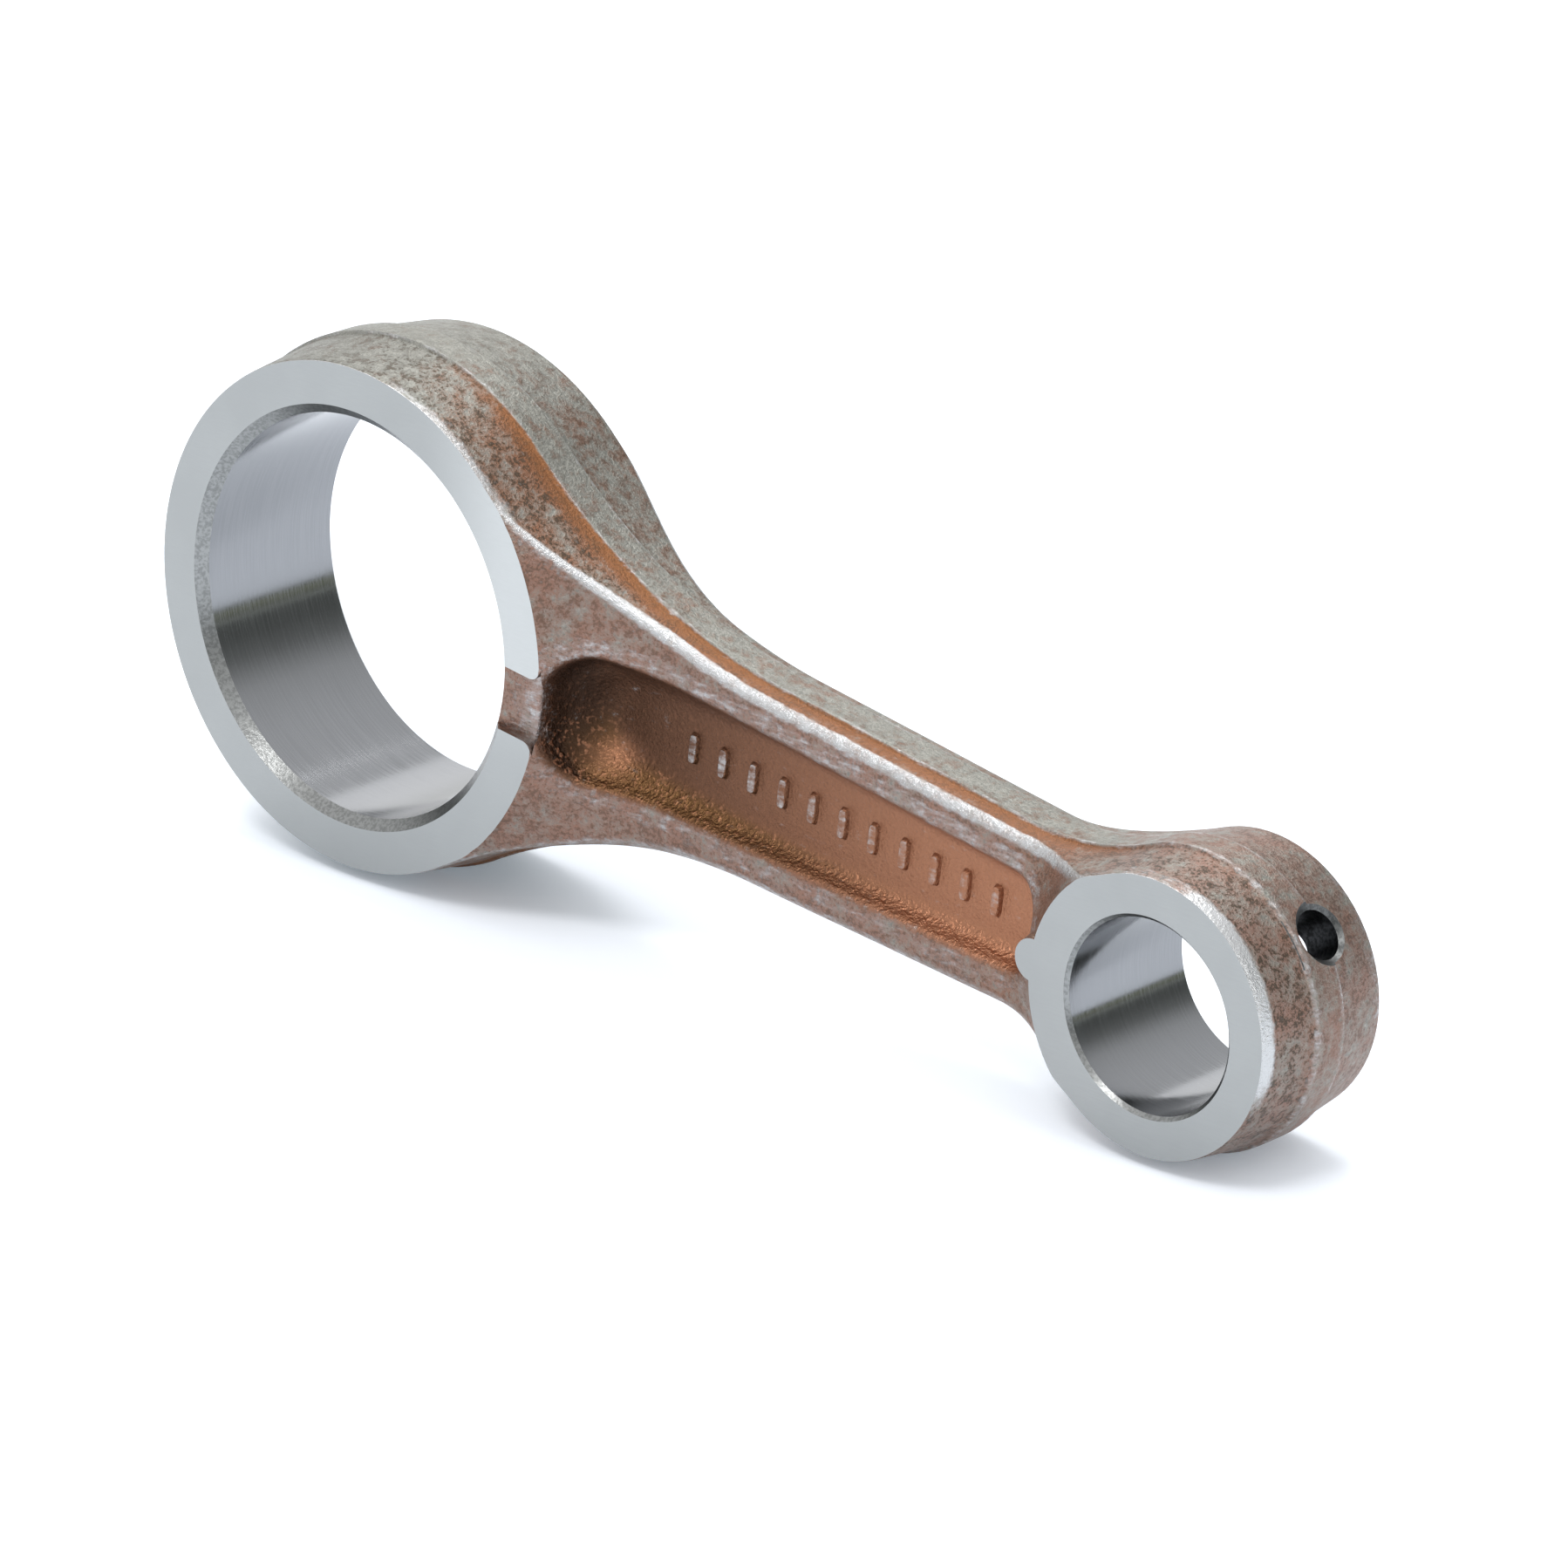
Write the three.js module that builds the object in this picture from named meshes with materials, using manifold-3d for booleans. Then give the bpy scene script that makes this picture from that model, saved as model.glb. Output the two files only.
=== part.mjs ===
// A one-piece forged connecting rod for a small single-cylinder engine.
//
// Millimetres, +Z up. The rod stands on the rims of its two ends, with the big end towards -X and the
// small end towards +X. Both bores run along Y. The origin is on the ground under the middle of the rod.
//
// The rod is first built in its own plane: the big end's centre at the origin, the small end along +X,
// the bores along Y, and the parting plane of the forging at Y = 0. It is then tilted, so that both
// rims touch the ground.

import * as THREE from 'three';
import { mergeVertices } from 'three/addons/utils/BufferGeometryUtils.js';
import Module from 'manifold-3d';

const wasm = await Module();
wasm.setup();

// ---------------------------------------------------------------- driving dimensions

const CENTRE_DISTANCE = 92.5;

// Each end: its bore, its width along the bore, its wall at the parting plane, and the concave
// shoulder that carries the beam's face up to the end's face.
const BIG_BORE_RADIUS = 18.5;
const BIG_BORE_CHAMFER = 1.0;
const BIG_WIDTH = 17.1;
const BIG_WALL = 5.75;
const BIG_SHOULDER_RADIUS = 20.3;
const BIG_SHOULDER_RUN = 12.35;

const SMALL_BORE_RADIUS = 8.5;
const SMALL_BORE_CHAMFER = 0.35;
const SMALL_WIDTH = 15.2;
const SMALL_WALL = 4.5;
const SMALL_SHOULDER_RADIUS = 8.3;
const SMALL_SHOULDER_RUN = 6.6;

// The beam at the parting plane. Its edges run straight between half heights at the two bore centres.
const BEAM_THICKNESS = 7.7;
const BEAM_HALF_HEIGHT_BIG = 10.35;
const BEAM_HALF_HEIGHT_SMALL = 7.55;
const BIG_NECK_RADIUS = 55;
const SMALL_NECK_RADIUS = 24;

// The pocket on each side of the web, with the metal left between it and each bore.
const WEB_THICKNESS = 3.2;
const POCKET_HALF_HEIGHT_BIG = 6.9;
const POCKET_HALF_HEIGHT_SMALL = 3.7;
const BIG_BRIDGE = 4.6;
const SMALL_BRIDGE = 7.0;
const BIG_CORNER_RADIUS = 4.2;
const SMALL_CORNER_RADIUS = 2.9;
const POCKET_FILLET = 2.1;

// The row of plain raised bars on the web, on the -Y side only. It starts this far from the pocket's
// big-end side.
const BAR_COUNT = 11;
const BAR_START = 12.9;
const BAR_PITCH = 3.5;
const BAR_LENGTH = 2.8;
const BAR_WIDTH = 1.0;
const BAR_PROUD = 0.25;

// The forging draft, and the trimmed flash band that stands proud all round the parting plane.
const DRAFT = THREE.MathUtils.degToRad(7);
const BAND_WIDTH = 3.6;
const BAND_PROUD = 0.3;
const BAND_CHAMFER = 0.15;

// The oil slot across each big-end face, and the rounded lug on each small-end face.
const OIL_SLOT_WIDTH = 6.0;
const OIL_SLOT_DEPTH = 1.0;
const LUG_OVERHANG = 1.3;
const LUG_RADIUS = 1.9;
const LUG_DRAFT = THREE.MathUtils.degToRad(20);

// The oil hole through the crown of the small end, at an angle above the rod's centre line.
const OIL_HOLE_RADIUS = 2.4;
const OIL_HOLE_CHAMFER = 0.3;
const OIL_HOLE_ANGLE = THREE.MathUtils.degToRad(44);
const OIL_HOLE_OFFSET = 2.1;

// How finely the round surfaces are faceted: whole circles, and steps along the shorter arcs.
const BIG_FACETS = 84;
const SMALL_FACETS = 56;
const LUG_FACETS = 24;
const OIL_HOLE_FACETS = 24;
const NECK_STEPS = 10;
const SHOULDER_STEPS = 8;
const CORNER_STEPS = 5;
const FILLET_STEPS = 4;

// How far a cutting tool runs past the metal that it cuts.
const OVERRUN = 2;

// ---------------------------------------------------------------- sizes worked out from them

const BIG_CENTRE = new THREE.Vector2(0, 0);
const SMALL_CENTRE = new THREE.Vector2(CENTRE_DISTANCE, 0);
const BIG_OUTER_RADIUS = BIG_BORE_RADIUS + BIG_WALL;
const SMALL_OUTER_RADIUS = SMALL_BORE_RADIUS + SMALL_WALL;
const BIG_RIM_RADIUS = BIG_OUTER_RADIUS + BAND_PROUD;
const SMALL_RIM_RADIUS = SMALL_OUTER_RADIUS + BAND_PROUD;
const TILT = Math.asin((BIG_RIM_RADIUS - SMALL_RIM_RADIUS) / CENTRE_DISTANCE);
const SPAN = CENTRE_DISTANCE * Math.cos(TILT);
const FULL_WIDTH = Math.max(BIG_WIDTH, SMALL_WIDTH);

// ---------------------------------------------------------------- solids

function solid(geometry) {
  geometry.deleteAttribute('normal');
  geometry.deleteAttribute('uv');
  const merged = mergeVertices(geometry);
  return new wasm.Manifold(new wasm.Mesh({
    numProp: 3,
    vertProperties: new Float32Array(merged.attributes.position.array),
    triVerts: new Uint32Array(merged.index.array),
  }));
}

function geometryOf(manifold) {
  const { vertProperties, triVerts } = manifold.getMesh();
  const geometry = new THREE.BufferGeometry();
  geometry.setAttribute('position', new THREE.BufferAttribute(vertProperties, 3));
  geometry.setIndex(new THREE.BufferAttribute(triVerts, 1));
  geometry.computeVertexNormals();
  return geometry;
}

// A profile of [radius, y] points, turned about the axis along Y through a centre in the rod's plane.
function turned(profile, centre, facets) {
  const points = profile.map(([radius, y]) => new THREE.Vector2(radius, y));
  return new THREE.LatheGeometry(points, facets).translate(centre.x, 0, centre.y);
}

// An outline in the rod's plane, carried along Y on both sides of the parting plane.
function extruded(points, width, options = {}) {
  const geometry = new THREE.ExtrudeGeometry(new THREE.Shape(points), {
    depth: width,
    bevelEnabled: false,
    ...options,
  });
  return geometry.translate(0, 0, -width / 2).rotateX(Math.PI / 2);
}

// A cutting tool for one face, together with the same tool turned over for the other face.
function bothFaces(geometry) {
  const other = geometry.clone().rotateX(Math.PI);
  return solid(geometry).add(solid(other));
}

// ---------------------------------------------------------------- outlines in the rod's plane

function arcPoints(centre, radius, from, to, steps) {
  return Array.from({ length: steps + 1 }, (_, step) => {
    const angle = THREE.MathUtils.lerp(from, to, step / steps);
    return new THREE.Vector2(centre.x + radius * Math.cos(angle), centre.y + radius * Math.sin(angle));
  });
}

// A whole outline from its upper half. Points that lie on the centre line are not repeated.
function withReflection(upper) {
  const off = upper.filter((point) => point.y > 1e-6);
  const lower = off.reverse().map((point) => new THREE.Vector2(point.x, -point.y));
  return [...upper, ...lower];
}

// The straight upper edge of the beam or of the pocket, from its heights at the two bore centres.
function edgeBetween(heightBig, heightSmall) {
  const start = new THREE.Vector2(0, heightBig);
  const direction = new THREE.Vector2(CENTRE_DISTANCE, heightSmall).sub(start).normalize();
  const normal = new THREE.Vector2(-direction.y, direction.x);
  return { start, direction, normal };
}

// The centre of the arc that is tangent to a round end and to the beam's edge. side is +1 where the
// beam leads away towards +X, and -1 where it leads towards -X.
function neckCentre(endCentre, endRadius, edge, neckRadius, side) {
  const offset = edge.start.clone().addScaledVector(edge.normal, neckRadius).sub(endCentre);
  const along = offset.dot(edge.direction);
  const reach = (endRadius + neckRadius) ** 2 - offset.lengthSq() + along ** 2;
  return offset.addScaledVector(edge.direction, side * Math.sqrt(reach) - along).add(endCentre);
}

// The rod at the parting plane, from the tip of the small end round to the far side of the big end
// and back: two round ends, joined by the tapered beam through neck arcs tangent to both.
function rodOutline() {
  const edge = edgeBetween(BEAM_HALF_HEIGHT_BIG, BEAM_HALF_HEIGHT_SMALL);
  const bigNeck = neckCentre(BIG_CENTRE, BIG_OUTER_RADIUS, edge, BIG_NECK_RADIUS, 1);
  const smallNeck = neckCentre(SMALL_CENTRE, SMALL_OUTER_RADIUS, edge, SMALL_NECK_RADIUS, -1);
  const bigAngle = bigNeck.angle();
  const smallAngle = smallNeck.clone().sub(SMALL_CENTRE).angle();
  const downToEdge = edge.normal.clone().negate().angle() - 2 * Math.PI;
  const bigSteps = Math.round((BIG_FACETS * (Math.PI - bigAngle)) / (2 * Math.PI));
  const smallSteps = Math.round((SMALL_FACETS * smallAngle) / (2 * Math.PI));
  return withReflection([
    ...arcPoints(SMALL_CENTRE, SMALL_OUTER_RADIUS, 0, smallAngle, smallSteps),
    ...arcPoints(smallNeck, SMALL_NECK_RADIUS, smallAngle - Math.PI, downToEdge, NECK_STEPS).slice(1),
    ...arcPoints(bigNeck, BIG_NECK_RADIUS, downToEdge, bigAngle - Math.PI, NECK_STEPS).slice(0, -1),
    ...arcPoints(BIG_CENTRE, BIG_OUTER_RADIUS, bigAngle, Math.PI, bigSteps),
  ]);
}

// The pocket's mouth: straight ends, tapered edges and rounded corners.
function pocketOutline() {
  const edge = edgeBetween(POCKET_HALF_HEIGHT_BIG, POCKET_HALF_HEIGHT_SMALL);
  const cornerCentre = (x, radius) => {
    const travel = (x + edge.normal.x * radius) / edge.direction.x;
    return edge.start.clone()
      .addScaledVector(edge.direction, travel)
      .addScaledVector(edge.normal, -radius);
  };
  const upToEdge = edge.normal.angle();
  const smallX = CENTRE_DISTANCE - SMALL_BORE_RADIUS - SMALL_BRIDGE - SMALL_CORNER_RADIUS;
  const bigX = BIG_BORE_RADIUS + BIG_BRIDGE + BIG_CORNER_RADIUS;
  const smallCorner = cornerCentre(smallX, SMALL_CORNER_RADIUS);
  const bigCorner = cornerCentre(bigX, BIG_CORNER_RADIUS);
  return withReflection([
    ...arcPoints(smallCorner, SMALL_CORNER_RADIUS, 0, upToEdge, CORNER_STEPS),
    ...arcPoints(bigCorner, BIG_CORNER_RADIUS, upToEdge, Math.PI, CORNER_STEPS),
  ]);
}

// ---------------------------------------------------------------- the forging

const outline = rodOutline();

// The drafted sides of the rod, widest at the parting plane.
function draftedSides() {
  const height = (FULL_WIDTH - BAND_WIDTH) / 2;
  const inset = height * Math.tan(DRAFT);
  return solid(extruded(outline, BAND_WIDTH, {
    bevelEnabled: true,
    bevelThickness: height,
    bevelSize: inset,
    bevelOffset: -inset,
    bevelSegments: 1,
  }));
}

function flashBand() {
  return solid(extruded(outline, BAND_WIDTH - 2 * BAND_CHAMFER, {
    bevelEnabled: true,
    bevelThickness: BAND_CHAMFER,
    bevelSize: BAND_CHAMFER,
    bevelOffset: BAND_PROUD - BAND_CHAMFER,
    bevelSegments: 1,
  }));
}

// The faces of one end with its concave shoulder: a turned disc whose thickness falls from the end's
// width to the beam's thickness, along an arc that is tangent to the beam's face.
function endDisc(centre, outerRadius, width, shoulderRadius, shoulderRun, facets) {
  const beamFace = BEAM_THICKNESS / 2;
  const tangentRadius = outerRadius + shoulderRun;
  const rise = (width - BEAM_THICKNESS) / 2;
  const sweep = Math.acos(1 - rise / shoulderRadius);
  const shoulder = Array.from({ length: SHOULDER_STEPS + 1 }, (_, step) => {
    const angle = (sweep * step) / SHOULDER_STEPS;
    const radius = tangentRadius - shoulderRadius * Math.sin(angle);
    return [radius, beamFace + shoulderRadius * (1 - Math.cos(angle))];
  });
  const underside = shoulder.map(([radius, y]) => [radius, -y]).reverse();
  const profile = [[0, -width / 2], ...underside, ...shoulder, [0, width / 2]];
  return solid(turned(profile, centre, facets));
}

// The rounded lug that carries the small end's face towards the pocket.
function lug() {
  const reach = SMALL_OUTER_RADIUS + LUG_OVERHANG;
  const centre = new THREE.Vector2(CENTRE_DISTANCE - reach + LUG_RADIUS, 0);
  const top = SMALL_WIDTH / 2;
  const base = BEAM_THICKNESS / 2;
  const baseRadius = LUG_RADIUS + (top - base) * Math.tan(LUG_DRAFT);
  const profile = [
    [0, -top], [LUG_RADIUS, -top], [baseRadius, -base], [baseRadius, base], [LUG_RADIUS, top], [0, top],
  ];
  return solid(turned(profile, centre, LUG_FACETS));
}

function beamSlab() {
  const slab = new THREE.BoxGeometry(CENTRE_DISTANCE, BEAM_THICKNESS, 2 * BIG_OUTER_RADIUS);
  return solid(slab.translate(CENTRE_DISTANCE / 2, 0, 0));
}

function forging() {
  const bigEnd = endDisc(
    BIG_CENTRE, BIG_OUTER_RADIUS, BIG_WIDTH, BIG_SHOULDER_RADIUS, BIG_SHOULDER_RUN, BIG_FACETS,
  );
  const smallEnd = endDisc(
    SMALL_CENTRE, SMALL_OUTER_RADIUS, SMALL_WIDTH, SMALL_SHOULDER_RADIUS, SMALL_SHOULDER_RUN, SMALL_FACETS,
  );
  const faces = beamSlab().add(bigEnd).add(smallEnd).add(lug());
  return draftedSides().intersect(faces).add(flashBand());
}

// ---------------------------------------------------------------- cuts

// The pocket on one face, down to the web, with a rounded edge round its floor.
function pocket() {
  const mouth = FULL_WIDTH / 2 + OVERRUN;
  const floor = WEB_THICKNESS / 2;
  const depth = mouth - floor - POCKET_FILLET;
  const geometry = extruded(pocketOutline(), depth, {
    bevelEnabled: true,
    bevelThickness: POCKET_FILLET,
    bevelSize: POCKET_FILLET,
    bevelOffset: -POCKET_FILLET,
    bevelSegments: FILLET_STEPS,
  });
  return bothFaces(geometry.translate(0, floor + POCKET_FILLET + depth / 2, 0));
}

// A bore with a 45 degree chamfer at both ends.
function bore(centre, radius, width, chamfer, facets) {
  const end = width / 2 + OVERRUN;
  const neck = width / 2 - chamfer;
  const flare = radius + chamfer + OVERRUN;
  const profile = [[0, -end], [flare, -end], [radius, -neck], [radius, neck], [flare, end], [0, end]];
  return solid(turned(profile, centre, facets));
}

// The slot across one big-end face, from the bore to the pocket.
function oilSlot() {
  const inner = BIG_BORE_RADIUS - OVERRUN;
  const outer = BIG_BORE_RADIUS + BIG_BRIDGE + OVERRUN;
  const depth = OIL_SLOT_DEPTH + OVERRUN;
  const slot = new THREE.BoxGeometry(outer - inner, depth, OIL_SLOT_WIDTH);
  return bothFaces(slot.translate((inner + outer) / 2, BIG_WIDTH / 2 + OVERRUN - depth / 2, 0));
}

// The radial oil hole, opened out by a small chamfer where it meets the outside.
function oilHole() {
  const inner = SMALL_BORE_RADIUS - OVERRUN;
  const seat = SMALL_OUTER_RADIUS - OIL_HOLE_CHAMFER;
  const outer = SMALL_RIM_RADIUS + OVERRUN;
  const flare = OIL_HOLE_RADIUS + outer - seat;
  const profile = [[0, inner], [OIL_HOLE_RADIUS, inner], [OIL_HOLE_RADIUS, seat], [flare, outer], [0, outer]];
  const points = profile.map(([radius, y]) => new THREE.Vector2(radius, y));
  const drill = new THREE.LatheGeometry(points, OIL_HOLE_FACETS);
  drill.rotateZ(-Math.PI / 2);
  drill.rotateY(-OIL_HOLE_ANGLE);
  return solid(drill.translate(CENTRE_DISTANCE, OIL_HOLE_OFFSET, 0));
}

// ---------------------------------------------------------------- the rod

// The row of bars standing up from the web. Each starts at the parting plane, so that it is rooted
// in the web.
function raisedBars() {
  const proudFace = WEB_THICKNESS / 2 + BAR_PROUD;
  const bars = Array.from({ length: BAR_COUNT }, (_, index) => {
    const bar = new THREE.BoxGeometry(BAR_WIDTH, proudFace, BAR_LENGTH);
    const x = BIG_BORE_RADIUS + BIG_BRIDGE + BAR_START + index * BAR_PITCH;
    return solid(bar.translate(x, -proudFace / 2, 0));
  });
  return wasm.Manifold.union(bars);
}

function connectingRod() {
  const bigBore = bore(BIG_CENTRE, BIG_BORE_RADIUS, BIG_WIDTH, BIG_BORE_CHAMFER, BIG_FACETS);
  const smallBore = bore(SMALL_CENTRE, SMALL_BORE_RADIUS, SMALL_WIDTH, SMALL_BORE_CHAMFER, SMALL_FACETS);
  const machined = forging()
    .subtract(pocket())
    .add(raisedBars())
    .subtract(bigBore)
    .subtract(smallBore)
    .subtract(oilSlot())
    .subtract(oilHole());
  const steel = new THREE.MeshStandardMaterial({ color: 0x8f6f5c, roughness: 0.5, metalness: 0.9 });
  const mesh = new THREE.Mesh(geometryOf(machined), steel);
  mesh.name = 'connecting_rod';
  return mesh;
}

const rod = connectingRod();
rod.rotation.y = TILT;
rod.position.set((BIG_RIM_RADIUS - SMALL_RIM_RADIUS - SPAN) / 2, 0, BIG_RIM_RADIUS);

const model = new THREE.Group();
model.add(rod);

export default model;
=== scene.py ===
"""The looks of a forged connecting rod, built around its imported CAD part.

Metres, in the part's frame: +X runs from the big end to the small end, +Y along both bores, +Z up. The
rod is worked out in its own plane first, in millimetres: the big bore's centre at the origin, the small
bore's centre along +X, the bores along Y, and the parting plane of the forging at y = 0.
"""

import math

import bpy
import numpy as np
from mathutils import Matrix, Vector


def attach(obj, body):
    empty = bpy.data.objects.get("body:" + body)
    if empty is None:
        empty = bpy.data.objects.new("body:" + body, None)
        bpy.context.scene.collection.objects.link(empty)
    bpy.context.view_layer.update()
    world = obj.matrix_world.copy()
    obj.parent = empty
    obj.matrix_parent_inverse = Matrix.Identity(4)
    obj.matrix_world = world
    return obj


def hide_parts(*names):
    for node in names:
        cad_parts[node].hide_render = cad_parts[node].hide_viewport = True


bl_info = {
    "name": "Forged Connecting Rod",
    "version": (1, 0, 0),
    "blender": (4, 5, 0),
    "location": "View3D > Sidebar > Connecting Rod",
    "description": "Builds a forged connecting rod with worn copper plating, and a plain studio around it",
    "category": "Object",
}

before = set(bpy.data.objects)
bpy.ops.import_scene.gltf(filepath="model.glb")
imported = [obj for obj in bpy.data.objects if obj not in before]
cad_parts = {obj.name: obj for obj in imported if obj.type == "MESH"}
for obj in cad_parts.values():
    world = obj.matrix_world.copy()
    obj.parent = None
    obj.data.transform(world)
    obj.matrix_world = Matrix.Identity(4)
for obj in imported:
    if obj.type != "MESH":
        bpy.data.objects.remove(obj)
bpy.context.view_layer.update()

CAD_NODE = "connecting_rod"
MM = 1000.0


# ---- settings ----


def number(name, description, default, subtype, unit):
    """A number that the user can change."""
    return bpy.props.FloatProperty(
        name=name, description=description, default=default, precision=5, subtype=subtype, unit=unit
    )


def length(name, description, default):
    """A length given in millimetres and kept in metres."""
    return number(name, description, default / MM, "DISTANCE", "LENGTH")


def colour(name, description, default):
    """A colour that the user can change, as linear red, green and blue."""
    return bpy.props.FloatVectorProperty(
        name=name, description=description, default=default, size=3, min=0.0, max=1.0, subtype="COLOR"
    )


def point(name, description, default):
    """A place in metres that the user can change."""
    return bpy.props.FloatVectorProperty(
        name=name, description=description, default=default, precision=5, subtype="XYZ", unit="LENGTH"
    )


class RodSizes(bpy.types.PropertyGroup):
    """The sizes of the rod."""

    centre_distance: length("Centre distance", "Between the two bores' centres", 92.5)
    big_bore: length("Big bore radius", "Radius of the big end's bore", 18.5)
    big_outer: length("Big end radius", "Outside of the big end at the parting plane", 24.25)
    big_half_width: length("Big end half width", "Half of its width between the ground faces", 8.55)
    big_chamfer: length("Big bore chamfer", "Chamfer at both ends of the big bore", 0.95)
    small_bore: length("Small bore radius", "Radius of the small end's bore", 8.5)
    small_outer: length("Small end radius", "Outside of the small end at the parting plane", 13.0)
    small_half_width: length("Small end half width", "Half of its width between the ground faces", 7.6)
    small_chamfer: length("Small bore chamfer", "Chamfer at both ends of the small bore", 0.35)
    beam_half: length("Beam half thickness", "Half of the beam's thickness across its flanges", 3.85)
    web_half: length("Web half thickness", "Half of the web's thickness at the pockets' floors", 1.6)
    rim_radius: length("Outer edge radius", "Rounding of the forging's outer edges", 1.35)
    belt_proud: length("Flash belt height", "How far the trimmed flash stands proud of the sides", 0.3)
    belt_front: length("Flash belt, front", "From the parting plane to the belt's front edge", 1.65)
    belt_back: length("Flash belt, back", "From the parting plane to the belt's back edge", 1.8)
    bar_length: length("Bar length", "Length of the plain raised bars on the web", 2.8)


class RodColours(bpy.types.PropertyGroup):
    """The colours of the rod's finishes."""

    # Copper is also the colour of the painted glints and of the painted highlight in the pockets.
    copper: colour("Copper", "Copper plating kept whole in the pockets", (0.38, 0.172, 0.096))
    orange: colour("Orange copper", "Copper in the corner beside the flash belt", (0.225, 0.098, 0.042))
    rose: colour("Rose copper", "Thin rubbed copper on the flanges and the small end", (0.26, 0.152, 0.118))
    gold: colour("Golden copper", "Copper darkened in the pockets' lower fillets", (0.138, 0.067, 0.026))
    # Umber is also mixed in, darker still, as painted shade on the pockets' steep walls and beside their
    # big-end wall.
    umber: colour("Umber", "Darkened plating at the big end of the pockets", (0.060, 0.029, 0.016))
    skin: colour("Bare skin", "The forging's bare skin", (0.235, 0.232, 0.208))
    # Bare steel is also the colour of the painted highlights on the ends' edges.
    steel: colour("Bare steel", "Burnished steel where the plating has gone", (0.50, 0.505, 0.51))
    scale: colour("Forging scale", "Dark specks of scale in the skin", (0.050, 0.044, 0.032))
    # Ground steel, made lighter, is also the painted sheen on the big end's face.
    ground: colour("Ground steel", "The ground faces of both ends", (0.362, 0.370, 0.366))
    honed: colour("Honed steel", "The honed bores", (0.262, 0.268, 0.280))


class StudioSettings(bpy.types.PropertyGroup):
    """The camera's place."""

    camera_place: point("Camera place", "Where the camera stands", (0.43399, -0.47813, 0.26370))
    camera_aim: point("Camera aim", "The point in the middle of the picture", (-0.00152, 0.00657, 0.01550))
    camera_roll: number(
        "Camera roll", "How far the camera leans clockwise", math.radians(-1.327), "ANGLE", "ROTATION"
    )
    lens: number("Focal length", "Of the lens, in millimetres", 184.07, "DISTANCE_CAMERA", "CAMERA")


class Millimetres:
    """The sizes of the rod in millimetres, and the lengths that follow from them."""

    def __init__(self, sizes):
        for name in sizes.__annotations__:
            setattr(self, name, getattr(sizes, name) * MM)
        self.small_centre = np.array([self.centre_distance, 0.0])
        rims = self.big_outer - self.small_outer
        self.tilt = math.asin(rims / self.centre_distance)
        self.rise = self.big_outer + self.belt_proud
        self.shift = (rims - self.centre_distance * math.cos(self.tilt)) / 2


# ---- shapes of the forging ----

DRAFT = math.tan(math.radians(7.0))

# The beam's half height at the parting plane and the pocket's, at the two bores' centres, in millimetres.
BEAM_EDGE = (10.35, 7.55)
POCKET_EDGE = (6.9, 3.7)
BIG_NECK, SMALL_NECK = 55.0, 24.0

# The concave shoulders: the arc's radius, and how far from the bore's centre it meets the beam.
BIG_SHOULDER = (20.3, 36.6)
SMALL_SHOULDER = (8.3, 19.6)

# How far the forged faces of the ends stand above the planes that they are later ground to.
GRINDING_STOCK = 0.85

# The pocket: where it starts and ends, its corners' radii, the radius that they grow to at its floor, the
# radii of its floor's fillet at the big end and along the beam, where one runs into the other, and the
# radius of its rim.
POCKET_START, POCKET_END = 23.5, 77.0
POCKET_CORNERS = (4.2, 2.9)
FLOOR_CORNER, FLOOR_CORNER_DEPTH = 6.5, 2.4
POCKET_FILLETS, POCKET_RIM = (6.3, 2.7), 1.0
FILLET_SHRINKS, FILLET_EASE = (26.0, 48.0), 1.6
STEEPEST_WALL = math.radians(80.0)


def smooth(value, low, high):
    """From 0 at low to 1 at high, by t^2 (3 - 2 t)."""
    t = np.clip((value - low) / (high - low), 0.0, 1.0)
    return t * t * (3.0 - 2.0 * t)


def edge_line(heights, span):
    """A straight edge above the centre line: its start, its direction and its normal."""
    start = np.array([0.0, heights[0]])
    direction = np.array([span, heights[1]]) - start
    direction = direction / np.hypot(*direction)
    return start, direction, np.array([-direction[1], direction[0]])


def shoulder_height(distance, face, shoulder, cap):
    """Height of a shoulder over its distance from the bore: face + r - sqrt(r^2 - (t - distance)^2), an
    arc of radius r tangent to the beam's face at distance t, and no higher than cap."""
    radius, tangent = shoulder
    run = np.clip(tangent - distance, 0.0, radius * 0.999)
    return np.minimum(face + radius - np.sqrt(radius**2 - run**2), cap)


def face_height(x, z, mm):
    """Height of the forging's face above the parting plane before the pocket is pressed in: the highest
    of the flat beam and the two shoulders."""
    big_cap, small_cap = mm.big_half_width + GRINDING_STOCK, mm.small_half_width + GRINDING_STOCK
    big = shoulder_height(np.hypot(x, z), mm.beam_half, BIG_SHOULDER, big_cap)
    small = shoulder_height(np.hypot(x - mm.centre_distance, z), mm.beam_half, SMALL_SHOULDER, small_cap)
    return np.maximum(big, small)


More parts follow.
